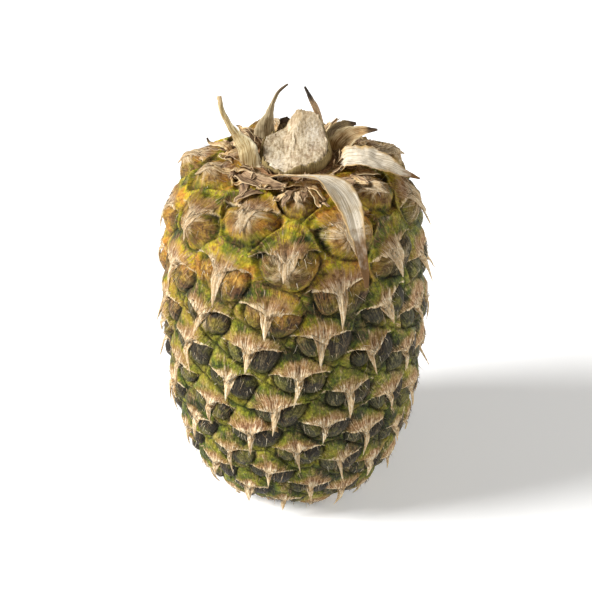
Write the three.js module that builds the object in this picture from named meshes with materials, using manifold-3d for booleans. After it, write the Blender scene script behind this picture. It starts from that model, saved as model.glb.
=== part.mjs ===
// A whole pineapple with its crown taken off, standing upside down on the flat scar where the
// crown grew, with the broken fruit stalk and its dry leaves on top.
// Millimetres, +Z up. The origin is the centre of the flat crown scar, on the resting surface.
import * as THREE from 'three';
import { mergeVertices } from 'three/addons/utils/BufferGeometryUtils.js';
import Module from 'manifold-3d';

const wasm = await Module();
wasm.setup();

// ---- Driving dimensions -------------------------------------------------------------------
const HEIGHT = 167;              // from the crown scar to the stalk end of the fruit
const CROWN_SCAR_RADIUS = 25;    // the flat spot that the fruit rests on
const STALK_SEAT_RADIUS = 20;    // the flat spot that the stalk grows out of
const GAP = 0.35;                // clearance between neighbouring pieces

// Outline of the fruit without its eyes, as [radius, height], from the scar to the stalk end.
const OUTLINE = [
  [CROWN_SCAR_RADIUS, 0], [33, 3], [43, 11], [50.5, 26], [56, 50], [58.3, 78], [58.6, 105],
  [56.6, 130], [52.6, 147], [46, 158], [33, 164.5], [STALK_SEAT_RADIUS, HEIGHT],
];
const OUTLINE_STEPS = 38;
const ROUND_STEPS = 72;

// The eyes lie on one spiral that starts at the stalk. Eye number k has its heading and its
// distance along the outline from the scar given by these values.
const EYES = { first: -6, last: 133 };
const DIVERGENCE = 137.636;      // degrees from each eye to the next
const FIRST_HEADING = 14.16;     // degrees from -Y towards +X, of eye 0
const DRIFT = 10.58;             // degrees that the spiral lags, one DRIFT_SPAN from its middle
const DRIFT_SPAN = 60;
const FIRST_EYE_ALONG = 191.3;   // mm along the outline, of eye 0
const EYE_STEP = 1.1216;         // mm along the outline from each eye to the next, far down
const EXTRA_STEP = 1.6574;       // what the step gains near the stalk, where eyes are bigger
const EXTRA_FADE = 24.06;        // eyes over which the gain dies away

const EYE_REACH = 11.8;          // from the middle of an eye to its groove
const EYE_BULGE = 2.6;           // how far an eye stands out from its groove
const GROOVE_DEPTH = 1.6;        // how far the groove lies inside the outline
const BULGE_FADE = 9;            // the eyes flatten out over this length at the two ends

const POINT_LENGTH = 10;         // the bract's dry point that hangs over each eye
const POINT_RADIUS = 2.6;
const POINT_FLATTEN = 0.55;
const POINT_SIDES = 4;
const POINT_LIFT = 0.3;          // radians that a point stands off the skin
const POINT_SINK = 1.6;          // how deep its root is sunk in the eye
const POINT_MARGIN = 12;         // no points nearer than this to the stalk end of the outline
const POINT_CLEARANCE = 1;       // the tips stay this far above the resting surface

// The broken stalk. Its torn end climbs from the front to the back, and much higher on the right
// than on the left, with a step between the two sides.
const STALK = {
  radius: 15.4,
  x: 0.2,
  y: 0.5,
  left: { front: 2, back: 5 },   // heights of the torn end
  right: { front: 5.5, back: 17.5 },
  backNarrowing: 0.2,            // how much narrower the torn end is at the back than the foot
  climbEnd: 0.7,                 // where the climb ends, in radii behind the middle
  stepStart: -0.62,              // where the step starts and ends, in radii right of the middle
  stepEnd: 0.15,
  rag: 0.6,                      // height of the raggedness of the torn end
  ragAcross: 1.7,                // its waves, in radians per mm
  ragBack: 1.3,
};
const STALK_SIDES = 28;

// Section of the stalk from the middle of its foot to the middle of its torn end, as shares of
// its radius and of its height.
const STALK_SECTION = [
  [0, 0], [0.5, 0], [1, 0], [1, 0.33], [1, 0.66], [1, 0.94], [0.92, 1], [0.6, 1], [0.3, 1], [0, 1],
];

const LEAF_THICKNESS = 0.9;
const LEAF_STEPS = 14;           // along a leaf
const LEAF_STRIPS = 2;           // across a leaf

// ---- Helpers ------------------------------------------------------------------------------
const TURN = 2 * Math.PI;
const radians = THREE.MathUtils.degToRad;
const MERGE_DISTANCE = 1e-4;

function skin(colour, roughness) {
  return new THREE.MeshStandardMaterial({ color: colour, roughness, metalness: 0 });
}

// Merges a geometry's shared vertices by place alone, so that it is one closed surface.
function closed(geometry) {
  const bare = geometry.clone();
  bare.deleteAttribute('normal');
  bare.deleteAttribute('uv');
  return mergeVertices(bare, MERGE_DISTANCE);
}

function toSolid(geometry) {
  const merged = closed(geometry);
  return new wasm.Manifold(new wasm.Mesh({
    numProp: 3,
    vertProperties: new Float32Array(merged.attributes.position.array),
    triVerts: new Uint32Array(merged.index.array),
  }));
}

function toGeometry(solid) {
  const mesh = solid.getMesh();
  const geometry = new THREE.BufferGeometry();
  geometry.setAttribute('position', new THREE.BufferAttribute(mesh.vertProperties, 3));
  geometry.setIndex(new THREE.BufferAttribute(mesh.triVerts, 1));
  geometry.computeVertexNormals();
  return geometry;
}

// Moves every vertex of a geometry by a function that changes the given point in place.
function reshape(geometry, move) {
  const places = geometry.attributes.position;
  const point = new THREE.Vector3();
  for (let i = 0; i < places.count; i += 1) {
    point.fromBufferAttribute(places, i);
    move(point, i);
    places.setXYZ(i, point.x, point.y, point.z);
  }
  geometry.computeVertexNormals();
  return geometry;
}

// ---- Fruit --------------------------------------------------------------------------------
const outline = new THREE.SplineCurve(OUTLINE.map((spot) => new THREE.Vector2(...spot)));
const outlineLength = outline.getLength();

// The heading is measured from the front (-Y) towards the right (+X).
function onSkin(heading, along, lift) {
  const share = THREE.MathUtils.clamp(along / outlineLength, 0, 1);
  const spot = outline.getPointAt(share);
  const slope = outline.getTangentAt(share);
  const outward = new THREE.Vector3(Math.sin(heading) * slope.y, -Math.cos(heading) * slope.y, -slope.x);
  const downward = new THREE.Vector3(-Math.sin(heading) * slope.x, Math.cos(heading) * slope.x, -slope.y);
  const place = new THREE.Vector3(Math.sin(heading) * spot.x, -Math.cos(heading) * spot.x, spot.y);
  place.addScaledVector(outward, lift);
  return { place, outward, downward, radius: spot.x };
}

function makeEyes() {
  const eyes = [];
  for (let k = EYES.first; k <= EYES.last; k += 1) {
    const drift = DRIFT * ((k - DRIFT_SPAN) / DRIFT_SPAN) ** 2;
    const extra = EXTRA_STEP * EXTRA_FADE * (1 - Math.exp(-k / EXTRA_FADE));
    eyes.push({
      heading: radians(FIRST_HEADING + DIVERGENCE * k - drift),
      along: FIRST_EYE_ALONG - EYE_STEP * k - extra,
    });
  }
  return eyes;
}

const eyes = makeEyes();

// Height of the skin over the outline: a dome over each eye, and a groove where domes meet.
function bulgeAt(heading, along, radius) {
  let nearest = EYE_REACH;
  for (const eye of eyes) {
    const turn = heading - eye.heading;
    const across = (turn - TURN * Math.round(turn / TURN)) * radius;
    nearest = Math.min(nearest, Math.hypot(across, along - eye.along));
  }
  const dome = 1 - (nearest / EYE_REACH) ** 2;
  const fade = Math.min(1, along / BULGE_FADE, (outlineLength - along) / BULGE_FADE);
  return fade * ((EYE_BULGE + GROOVE_DEPTH) * dome - GROOVE_DEPTH);
}

function makeBody() {
  const section = [new THREE.Vector2(0, 0)];
  for (let step = 0; step <= OUTLINE_STEPS; step += 1) {
    section.push(outline.getPointAt(step / OUTLINE_STEPS));
  }
  section.push(new THREE.Vector2(0, HEIGHT));
  const body = new THREE.LatheGeometry(section, ROUND_STEPS);
  body.rotateX(Math.PI / 2);
  return reshape(body, (point, index) => {
    const step = (index % section.length) - 1;
    if (step <= 0 || step >= OUTLINE_STEPS) return;
    const heading = Math.atan2(point.x, -point.y);
    const along = (step / OUTLINE_STEPS) * outlineLength;
    const lift = bulgeAt(heading, along, Math.hypot(point.x, point.y));
    point.copy(onSkin(heading, along, lift).place);
  });
}

// One dry point: a flat pyramid rooted in the eye, with its tip hanging towards the scar. Eyes
// whose point would reach below the resting surface have lost it.
function makePoint(eye) {
  const root = onSkin(eye.heading, eye.along, EYE_BULGE - POINT_SINK);
  const hang = root.downward.clone().multiplyScalar(Math.cos(POINT_LIFT));
  hang.addScaledVector(root.outward, Math.sin(POINT_LIFT)).normalize();
  const tipHeight = root.place.z + hang.z * POINT_LENGTH;
  if (tipHeight < POINT_CLEARANCE || eye.along > outlineLength - POINT_MARGIN) return null;
  const side = new THREE.Vector3().crossVectors(root.outward, hang).normalize();
  const face = new THREE.Vector3().crossVectors(side, hang).normalize();
  const point = new THREE.ConeGeometry(POINT_RADIUS, POINT_LENGTH, POINT_SIDES);
  point.scale(1, 1, POINT_FLATTEN);
  point.translate(0, POINT_LENGTH / 2, 0);
  point.applyMatrix4(new THREE.Matrix4().makeBasis(side, hang, face).setPosition(root.place));
  return point;
}

function makeFruit() {
  let solid = toSolid(makeBody());
  for (const point of eyes.map(makePoint).filter(Boolean)) {
    solid = solid.add(toSolid(point));
  }
  return toGeometry(solid);
}

// ---- Stalk --------------------------------------------------------------------------------
function tornHeight(x, y) {
  const { radius, left, right } = STALK;
  const climb = THREE.MathUtils.smoothstep(y, -radius, STALK.climbEnd * radius);
  const step = THREE.MathUtils.smoothstep(x, STALK.stepStart * radius, STALK.stepEnd * radius);
  const low = THREE.MathUtils.lerp(left.front, left.back, climb);
  const high = THREE.MathUtils.lerp(right.front, right.back, climb);
  const rag = STALK.rag * Math.sin(x * STALK.ragAcross) * Math.cos(y * STALK.ragBack);
  return THREE.MathUtils.lerp(low, high, step) + rag;
}

function makeStalk() {
  const { radius } = STALK;
  const section = STALK_SECTION.map(([across, up]) => new THREE.Vector2(across * radius, up));
  const stalk = new THREE.LatheGeometry(section, STALK_SIDES);
  stalk.rotateX(Math.PI / 2);
  return reshape(stalk, (point) => {
    const share = point.z;
    const behind = THREE.MathUtils.smoothstep(point.y, -radius, radius);
    const narrow = 1 - STALK.backNarrowing * share * behind;
    point.z = share * tornHeight(point.x, point.y);
    point.x *= narrow;
    point.y *= narrow;
  });
}

// ---- Dry leaves ---------------------------------------------------------------------------
// A leaf is a thin strip bent along a curve. Its path runs from root to tip, and its widths are
// spread evenly along the path. Its side is turned from startSide to endSide on the way.
// It is hollow towards its face by its cup, as a share of its width.
function makeLeaf({ path, widths, startSide, endSide, cup = 0 }) {
  const line = new THREE.CatmullRomCurve3(path.map((spot) => new THREE.Vector3(...spot)));
  const first = new THREE.Vector3(...startSide).normalize();
  const last = new THREE.Vector3(...endSide).normalize();
  const strip = new THREE.BoxGeometry(1, 1, 1, LEAF_STEPS, LEAF_STRIPS, 1);
  return reshape(strip, (point) => {
    const share = point.x + 0.5;
    const slot = share * (widths.length - 1);
    const from = Math.min(Math.floor(slot), widths.length - 2);
    const width = THREE.MathUtils.lerp(widths[from], widths[from + 1], slot - from);
    const tangent = line.getTangentAt(share);
    const side = first.clone().lerp(last, share);
    side.addScaledVector(tangent, -side.dot(tangent)).normalize();
    const face = new THREE.Vector3().crossVectors(tangent, side);
    const bend = cup * width * (4 * point.y ** 2 - 1);
    const across = point.y * width;
    const through = point.z * LEAF_THICKNESS + bend;
    point.copy(line.getPointAt(share)).addScaledVector(side, across).addScaledVector(face, through);
  });
}

const LEAVES = {
  leaf_left_curled: {
    path: [[-20.2, -3.2, 168.8], [-21, -2.6, 172.4], [-24, 0.4, 176.6], [-27.4, 2.8, 181],
      [-30.7, 6, 186.8], [-31.9, 8, 193]],
    widths: [14, 11, 6.5, 3.6, 2.8, 2.6], startSide: [0.68, -0.73, 0], endSide: [0.95, -0.2, 0.2],
  },
  leaf_back_left: {
    path: [[-12.9, 18, 169.2], [-12, 18.2, 174], [-10.6, 18.8, 179], [-9, 19.6, 184.4],
      [-6.6, 20.8, 188.6], [-2.8, 22, 191.6]],
    widths: [11, 8.5, 4.4, 2, 1.5, 0.9], startSide: [0.88, 0.47, 0], endSide: [0.8, 0.1, -0.5], cup: 0.08,
  },
  leaf_back_dark: {
    path: [[-3.4, 18.6, 168.6], [-3.6, 19.6, 172.5], [-4.6, 20.6, 176]],
    widths: [8, 7, 3], startSide: [1, 0.1, 0], endSide: [1, 0.1, 0], cup: 0.06,
  },
  leaf_back_spike: {
    path: [[13, 12.4, 168.4], [12.2, 13, 175], [10.4, 13.4, 182], [7.2, 13.4, 188.6], [4.4, 13, 194.9]],
    widths: [6, 4.8, 3.6, 2, 0.9], startSide: [-0.75, 0.66, 0], endSide: [0.9, -0.1, 0.4], cup: 0.05,
  },
  leaf_right_back: {
    path: [[18.2, 5.4, 169.4], [22.4, 9.6, 172], [28.5, 12.6, 173.4], [36, 14, 173.5]],
    widths: [11, 9.5, 5.5, 1.2], startSide: [-0.5, 0.7, 0.2], endSide: [-0.2, 0.9, 0.3], cup: 0.1,
  },
  leaf_right_back_dark: {
    path: [[15.8, 15.2, 170.2], [18.6, 18.6, 172.8], [22.6, 21.4, 173.6], [27, 23.6, 173]],
    widths: [6, 7, 5.5, 1.6], startSide: [-0.5, 0.5, 0.4], endSide: [-0.3, 0.6, 0.6], cup: 0.06,
  },
  leaf_right_front: {
    path: [[18.8, -5.2, 169.9], [24, -6.8, 171.8], [32, -7.6, 171.4], [40.3, -8.2, 168.2],
      [46.8, -8.4, 164.8], [53.5, -8.4, 162.2]],
    widths: [13, 14, 14, 11, 5, 1], startSide: [-0.1, 0.95, 0.1], endSide: [0.2, 1, 0.2], cup: 0.06,
  },
  leaf_front_drooping: {
    path: [[-12.4, -16.8, 169.6], [-4, -21.6, 171.4], [5, -25, 173], [13, -28.4, 173.4],
      [19, -34, 171.2], [22.8, -41, 167], [25.2, -48, 161.2], [27.4, -53.6, 153],
      [29, -56.6, 145], [29.6, -57.8, 139.5]],
    widths: [3, 5, 8, 13, 14, 11, 7.5, 5, 3.6, 2], startSide: [0.2, 0.8, -0.55], endSide: [0.9, 0.4, 0.1],
  },
  leaf_left_short: {
    path: [[-27, 6.6, 169.4], [-31.7, 8.4, 169.8], [-36, 10, 169.4], [-38, 11, 171]],
    widths: [4.5, 4, 2.6, 1], startSide: [0.3, 0.95, 0], endSide: [0.4, 0.9, 0.1],
  },
  collar_flap: {
    path: [[-24, -12.6, 168.8], [-19.4, -19.4, 168.8], [-12, -24, 168.8], [-3.6, -26.6, 168.8]],
    widths: [4, 7, 7, 3], startSide: [0.75, 0.65, 0.1], endSide: [0.2, 1, 0.1],
  },
};

const LEAF_COLOURS = {
  leaf_left_curled: '#b3a273',
  leaf_back_left: '#9c8f6c',
  leaf_back_dark: '#4d4a37',
  leaf_back_spike: '#a8866a',
  leaf_right_back: '#a5906a',
  leaf_right_back_dark: '#6e6443',
  leaf_right_front: '#d2c7b2',
  leaf_front_drooping: '#cfc4ae',
  leaf_left_short: '#c3aa84',
  collar_flap: '#86705f',
};

// ---- Assembly -----------------------------------------------------------------------------
function place(group, name, geometry, material, spot = [0, 0, 0]) {
  const mesh = new THREE.Mesh(geometry, material);
  mesh.name = name;
  mesh.position.set(...spot);
  group.add(mesh);
}

const pineapple = new THREE.Group();
place(pineapple, 'fruit', makeFruit(), skin('#7d7434', 0.6));

const stalkTop = new THREE.Group();
place(stalkTop, 'stalk_stump', makeStalk(), skin('#b7a58c', 0.85), [STALK.x, STALK.y, HEIGHT + GAP]);
for (const [name, leaf] of Object.entries(LEAVES)) {
  place(stalkTop, name, makeLeaf(leaf), skin(LEAF_COLOURS[name], 0.8));
}
pineapple.add(stalkTop);

export default pineapple;
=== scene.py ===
"""The looks of a crownless pineapple that stands upside down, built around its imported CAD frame.

Every eye of the fruit lies on one spiral. A local place on an eye is written (across, down), in
millimetres on an eye of ordinary size: across to the right, down towards the crown scar, and
(0, 0) is the root of the dry point that hangs over the eye. How old an eye is runs from 0 to 1,
which it reaches next to the stalk, where sepals and points have weathered into domes and stars.
"""
import math
from types import SimpleNamespace

import bpy
import numpy as np
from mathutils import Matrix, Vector


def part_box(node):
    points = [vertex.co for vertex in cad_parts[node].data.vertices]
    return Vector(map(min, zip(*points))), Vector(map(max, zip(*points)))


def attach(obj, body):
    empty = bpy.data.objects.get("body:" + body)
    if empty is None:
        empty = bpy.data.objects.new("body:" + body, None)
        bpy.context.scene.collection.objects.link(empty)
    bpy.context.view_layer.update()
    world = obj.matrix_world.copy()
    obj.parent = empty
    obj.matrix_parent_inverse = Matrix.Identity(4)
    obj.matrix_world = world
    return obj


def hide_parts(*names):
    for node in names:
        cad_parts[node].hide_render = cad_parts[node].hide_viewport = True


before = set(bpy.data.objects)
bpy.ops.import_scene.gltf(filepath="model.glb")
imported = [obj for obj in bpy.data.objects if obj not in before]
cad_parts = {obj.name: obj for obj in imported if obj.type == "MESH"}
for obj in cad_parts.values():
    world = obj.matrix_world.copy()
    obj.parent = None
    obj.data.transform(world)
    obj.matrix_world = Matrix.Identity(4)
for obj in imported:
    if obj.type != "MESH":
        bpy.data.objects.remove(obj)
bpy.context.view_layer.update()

MM = 0.001
SEED = 7
TURN = 2 * math.pi
TINY = 1e-9  # keeps a length that is divided by from being zero

# ---- Driving dimensions, in millimetres ----
SEAT_GAP = 0.35  # from the fruit's flat top up to the stump's foot
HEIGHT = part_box("stalk_stump")[0].z / MM - SEAT_GAP
SCAR_RADIUS = 25
SEAT_RADIUS = 20
OUTLINE = [
    (SCAR_RADIUS, 0), (33, 3), (43, 11), (50.5, 26), (56, 50), (58.3, 78), (58.6, 105),
    (56.6, 130), (52.6, 147), (46, 158), (33, 164.5), (SEAT_RADIUS, HEIGHT),
]

# The spiral of eyes, numbered from the stalk end. Angles are in degrees.
FIRST_EYE, LAST_EYE = -8, 138
DIVERGENCE = 137.636  # from one eye to the next
FIRST_HEADING = 14.16
DRIFT = 10.58  # how far headings lag behind an even spiral at eyes 0 and 2 * DRIFT_SPAN
DRIFT_SPAN = 60
FIRST_ALONG = 191.3
EYE_STEP = 1.1216  # how far down the outline the next eye lies
EXTRA_STEP = 1.6574  # how much further that is at eye 0
EXTRA_FADE = 24.06  # over how many eyes the extra step fades
ORDINARY_EYE = 25  # the side of a square as large as an ordinary eye
SMALLEST_EYE, LARGEST_EYE = 0.6, 1.25
YOUNG_FROM, OLD_UNTIL = 30, 4  # eyes from the first number on are young, up to the second old
PAST_SCAR, PAST_COLLAR = 6, 4  # eyes go on this far past the ends of the outline
CLEARANCE = 0.3  # nothing loose comes nearer than this to the resting surface

# The skin's grid.
ROUND = 720
ALONG = 420
CAP_RINGS = 8
SCAR_FADE, COLLAR_FADE = 6, 5  # the relief fades out over this much at the ends of the outline
HOLLOW_REACH = 4  # grid steps over which the skin is smoothed, to find its dips, which get painted shade, and its ridges, which get a painted highlight

# An eye, in millimetres on an eye of ordinary size. Heights are over the outline.
CELL_RISE = 2.3  # the middle of an eye lies this far above the root of its point
CELL_EVENNESS = 0.4  # the share of an eye's room that doesn't depend on its size
GROOVE_HEIGHT = -2.0
FLESH_RISE, FLESH_SPAN = 1.7, 5
CORD_HEIGHT, CORD_WIDTH = 2.3, 1.3  # the raised cord between old eyes
SEPAL_RIM = -2.3  # the crease round a sepal
BRACT_SWELL = 2.0  # how far the bract stands over the flesh round the point
FIBRE_FOOT, OLD_FIBRE_FOOT = 9, 1  # how far below the root the bract's fibres meet
STAR_SIZE = 1.45  # how far the torn star of an old eye reaches, in lengths of its spikes

# Each side's arch over its sepal: how high it climbs, how soon, where its arm starts to bend down
# again, and how much.
ARCHES = {"right": (6.5, 3.3, 8.5, 0.05), "left": (5.4, 3.0, 8, 0.04)}

# Each sepal's oval: its middle, its half width and half height, its lean and its mound's height.
SEPALS = {
    "right": ((7.2, 0.9), (6.5, 7.6), -0.3, 3.7),
    "left": ((-6.2, 0.0), (5.4, 6.6), 0.25, 3.2),
}
DOME = ((1.0, 1.0), (11.5, 10.5))  # the one dome that both merge into on an old eye

rng = np.random.default_rng(SEED)


# ---- Small maths ----
def smooth(x, low, high):
    """0 below low, 1 above high, and an even climb between them."""
    t = np.clip((x - low) / (high - low), 0, 1)
    return t * t * (3 - 2 * t)


def lerp(a, b, t):
    return a + (b - a) * t


def bell(x, width):
    """1 at 0, falling off evenly on both sides."""
    return np.exp(-((x / width) ** 2))


def places(x, y, z):
    """Places from their three coordinates, any of which may be a single number."""
    return np.stack(np.broadcast_arrays(x, y, z), -1)


def unit(vectors, tiny=0):
    """Vectors at length 1. Where one may have no length at all, tiny keeps it from failing."""
    return vectors / (np.linalg.norm(vectors, axis=-1, keepdims=True) + tiny)


SPLINE_STEPS = 40


def spline(points, count):
    """Points at even distances along a smooth curve through the given points, and its length."""
    p = np.asarray(points, float)
    p = np.vstack([2 * p[0] - p[1], p, 2 * p[-1] - p[-2]])
    t = np.linspace(0, 1, SPLINE_STEPS, endpoint=False)[:, None]
    pieces = []
    for a, b, c, d in zip(p, p[1:], p[2:], p[3:]):
        pieces.append(0.5 * (2 * b + (c - a) * t + (2 * a - 5 * b + 4 * c - d) * t**2
                             + (3 * b - a - 3 * c + d) * t**3))
    fine = np.vstack(pieces + [p[-2:-1]])
    walked = np.concatenate([[0], np.cumsum(np.linalg.norm(np.diff(fine, axis=0), axis=1))])
    even = np.linspace(0, walked[-1], count)
    return np.stack([np.interp(even, walked, column) for column in fine.T], -1), walked[-1]


HASH_FACTORS = (374761393, 668265263, 2147483647)
HASH_SEED_FACTOR = 974634777
HASH_MIX = 1274126177
HASH_TOP = 0xFFFFFF


def hashed(cells, seed):
    """A repeatable number from 0 to 1 for each whole-numbered cell."""
    n = sum(cells[..., i] * factor for i, factor in enumerate(HASH_FACTORS)) + seed * HASH_SEED_FACTOR
    n = (n ^ (n >> 13)) * HASH_MIX
    n = (n ^ (n >> 16)) & HASH_TOP
    return n / HASH_TOP


def noise(points, size, seed, octaves=1):
    """Smooth noise from -1 to 1 at points in millimetres, with lumps about as wide as size."""
    total = np.zeros(points.shape[:-1])
    weight, norm = 1.0, 0.0
    for octave in range(octaves):
        p = points / size * 2**octave
        base = np.floor(p).astype(np.int64)
        f = p - base
        f = f * f * (3 - 2 * f)
        value = np.zeros(points.shape[:-1])
        for corner in np.ndindex(2, 2, 2):
            share = np.prod([f[..., i] if corner[i] else 1 - f[..., i] for i in range(3)], axis=0)
            value += share * hashed(base + np.array(corner), seed + octave)
        total += weight * (2 * value - 1)
        norm += weight
        weight *= 0.5
    return total / norm


# ---- The fruit's outline ----
OUTLINE_STEPS = 600
NARROWEST_ALONG = 12  # nearer the scar than this, an eye is laid out as if it were this far up

OUTLINE_POINTS, OUTLINE_LENGTH = spline(OUTLINE, OUTLINE_STEPS)
OUTLINE_ALONG = np.linspace(0, OUTLINE_LENGTH, len(OUTLINE_POINTS))
OUTLINE_SLOPE = np.gradient(OUTLINE_POINTS, OUTLINE_ALONG, axis=0)


def radius_at(along):
    return np.interp(along, OUTLINE_ALONG, OUTLINE_POINTS[:, 0])


def on_fruit(heading, along, lift):
    """The place, in millimetres, at a heading from the front, a distance up the outline from the
    scar's rim, and a lift off the outline."""
    radius = radius_at(along)
    height = np.interp(along, OUTLINE_ALONG, OUTLINE_POINTS[:, 1])
    out = np.interp(along, OUTLINE_ALONG, OUTLINE_SLOPE[:, 1])
    up = -np.interp(along, OUTLINE_ALONG, OUTLINE_SLOPE[:, 0])
    reach = radius + lift * out
    return places(np.sin(heading) * reach, -np.cos(heading) * reach, height + lift * up)


# ---- The eyes ----
def make_eyes():
    """Place, size, age and chance differences of every eye, as arrays."""
    k = np.arange(FIRST_EYE, LAST_EYE + 1)
    fade = np.exp(-k / EXTRA_FADE)
    along = FIRST_ALONG - EYE_STEP * k - EXTRA_STEP * EXTRA_FADE * (1 - fade)
    step = EYE_STEP + EXTRA_STEP * fade
    heading = np.radians(FIRST_HEADING + DIVERGENCE * k - DRIFT * ((k - DRIFT_SPAN) / DRIFT_SPAN) ** 2)
    size = np.sqrt(TURN * radius_at(along) * step) / ORDINARY_EYE
    kept = (along > -PAST_SCAR) & (along < OUTLINE_LENGTH + PAST_COLLAR)
    k, along, heading, count = k[kept], along[kept], heading[kept], kept.sum()
    old = smooth(-k, -YOUNG_FROM, -OLD_UNTIL)
    return SimpleNamespace(
        heading=heading + rng.normal(0, 0.5, count) / radius_at(along),
        along=along + rng.normal(0, 0.5, count),
        size=np.clip(size[kept], SMALLEST_EYE, LARGEST_EYE),
        seed=rng.random(count),
        old=old,
        right=rng.normal(1, 0.14, count),
        left=rng.normal(1, 0.16, count) - 0.45 * old,
        arch_right=rng.normal(1, 0.17, count),
        arch_left=rng.normal(1, 0.2, count),
        tilt=rng.normal(0, 0.05, count),
        arm_right=rng.uniform(0.7, 1.05, count) - 0.25 * old,
        arm_left=rng.uniform(0.6, 1.05, count) - 0.2 * old,
        lean=rng.normal(0, 1.3, count),
        length=np.clip(rng.normal(1, 0.2, count), 0.45, 1.2) * (1 - 0.35 * old),
        breadth=rng.normal(1, 0.2, count) * (1 + 0.6 * old),
        curl=rng.normal(0, 1, count),
    )


EYES = make_eyes()
EYE_COUNT = len(EYES.along)


def arch(side, across, index):
    """How far down the bract's free edge lies on one side of the point."""
    climb, span, bend_start, bend = ARCHES[side]
    reach = np.abs(across)
    down = -climb * getattr(EYES, "arch_" + side)[index] * (1 - np.exp(-reach / span))
    return down + bend * np.clip(reach - bend_start, 0, None) ** 2


def bract_edge(across, index):
    """How far down the bract's free edge lies: an arch over the sepals on each side of the point."""
    edge = np.where(across > 0, arch("right", across, index), arch("left", across, index))
    return edge + EYES.tilt[index] * across


GRID_HEADING, GRID_ALONG = np.meshgrid(np.linspace(-math.pi, math.pi, ROUND, endpoint=False),
                                       np.linspace(0, OUTLINE_LENGTH, ALONG))
FLAT_PLACE = on_fruit(GRID_HEADING, GRID_ALONG, 0)
FAR = 60.0  # further than any place is from its eye
EYE_REACH = 30  # no place belongs to an ordinary eye further away than this


def make_skin_fields():
    """Where on its eye each place on the skin's grid lies, which eye that is, and how far the
    place is from the eye's border."""
    heading, along = GRID_HEADING[0], GRID_ALONG[:, 0]
    shape = (ALONG, ROUND)
    first, second = np.full(shape, FAR), np.full(shape, FAR)
    across, down = np.zeros(shape), np.zeros(shape)
    index = np.zeros(shape, int)
    stray = [noise(FLAT_PLACE, 7, seed) + 0.4 * noise(FLAT_PLACE, 2.6, seed + 1) for seed in (13, 15)]
    for i in range(EYE_COUNT):
        size = EYES.size[i]
        rows = np.abs(along - EYES.along[i]) < EYE_REACH * size
        turn = heading - EYES.heading[i]
        turn -= TURN * np.round(turn / TURN)
        x = turn[None, :] * radius_at(along[rows])[:, None] + stray[0][rows]
        y = (EYES.along[i] - along[rows])[:, None] + stray[1][rows]
        distance = np.hypot(x, y + CELL_RISE * size) / (CELL_EVENNESS + (1 - CELL_EVENNESS) * size)
        a, b = first[rows], second[rows]
        nearer = distance < a
        second[rows] = np.where(nearer, a, np.minimum(b, distance))
        first[rows] = np.where(nearer, distance, a)
        for field, value in ((across, x / size), (down, y / size), (index, i)):
            field[rows] = np.where(nearer, value, field[rows])
    return across, down, index, (second - first) / 2 / EYES.size[index]


def sepals(across, down, index):
    """The two sepals under each bract as ovals: how far out in its oval a place lies, from 0 in
    the middle to 1 at the rim, and how high the oval's mound is."""
    old = EYES.old[index]
    grow = 1.06 + 0.26 * old
    ovals = []
    for side, (middle, radii, lean, _) in SEPALS.items():
        x = across - middle[0] - lean * (down - middle[1])
        y = down - middle[1]
        share = grow * (0.55 + 0.45 * getattr(EYES, side)[index])
        ovals.append(((x / radii[0]) ** 2 + (y / radii[1]) ** 2) / share**2)
    middle, radii = DOME
    whole = ((across - middle[0]) / radii[0]) ** 2 + ((down - middle[1]) / radii[1]) ** 2
    mound = np.where(ovals[0] < ovals[1], SEPALS["right"][3], SEPALS["left"][3]) * grow
    return lerp(np.minimum(*ovals), whole, 0.85 * old), mound


def star(across, down, index):
    """The torn papery star round the root of an old eye's point: above 0 inside it."""
    angle = np.arctan2(across, down)
    around = places(np.cos(angle) * 4, np.sin(angle) * 4, index * 7.3)
    spikes = np.clip(5.2 + 6 * noise(around, 1.0, 41, 2), 1.2, 10)
    return (STAR_SIZE - np.hypot(across, down) / spikes) * EYES.old[index]


def flow(across, down, sepal, index):
    """Where a place lies on the fibres: they fan out from below the point's root over the bract,
    or from the root itself on an old eye, and run down the sepals of a young one. Gives the
    fibre's number and the distance along it."""
    old = EYES.old[index]
    foot = lerp(FIBRE_FOOT, OLD_FIBRE_FOOT, old) - down
    hanging = (sepal > 0.5) & (old < 0.5)
    strand = np.where(hanging, 40 * np.arctan2(across - 1, 22 - down), 42 * np.arctan2(across, foot))
    return strand, np.hypot(across, foot)


def eye_relief(across, down, border, index, place):
    """Height of the skin over the outline, in millimetres on an ordinary eye."""
    old = EYES.old[index]
    flesh = GROOVE_HEIGHT + FLESH_RISE * (1 - (1 - np.clip(border / FLESH_SPAN, 0, 1)) ** 2) + 0.5 * old
    flesh += CORD_HEIGHT * old * bell(border, CORD_WIDTH)
    oval, mound = sepals(across, down, index)
    crease = SEPAL_RIM + 1.2 * old
    inside = crease + mound * np.abs(1 - np.minimum(oval, 1)) ** lerp(0.6, 1.1, old)
    outside = lerp(crease, flesh, smooth(oval, 1, 1.7))
    below = down - bract_edge(across, index)
    bract = smooth(-below, -0.3, 0.3)
    swell = (BRACT_SWELL - 1.2 * old) * smooth(below, -9, -0.5) * bell(across, 10)
    height = lerp(np.where(oval < 1, inside, outside), flesh + 0.2 + swell, bract)
    strand, reach = flow(across, down, 1 - bract, index)
    threads = noise(places(strand * 0.8, reach * 0.22, index * 7.0), 1.0, 17, 2)
    lumps = (0.5 + 0.5 * old) * noise(place, 6, 11)
    height += lumps + 0.18 * noise(place, 2.4, 12, 2) + 0.1 * noise(place, 1.1, 14)
    return height + 0.22 * threads + 0.5 * np.clip(star(across, down, index), 0, 1)


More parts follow.
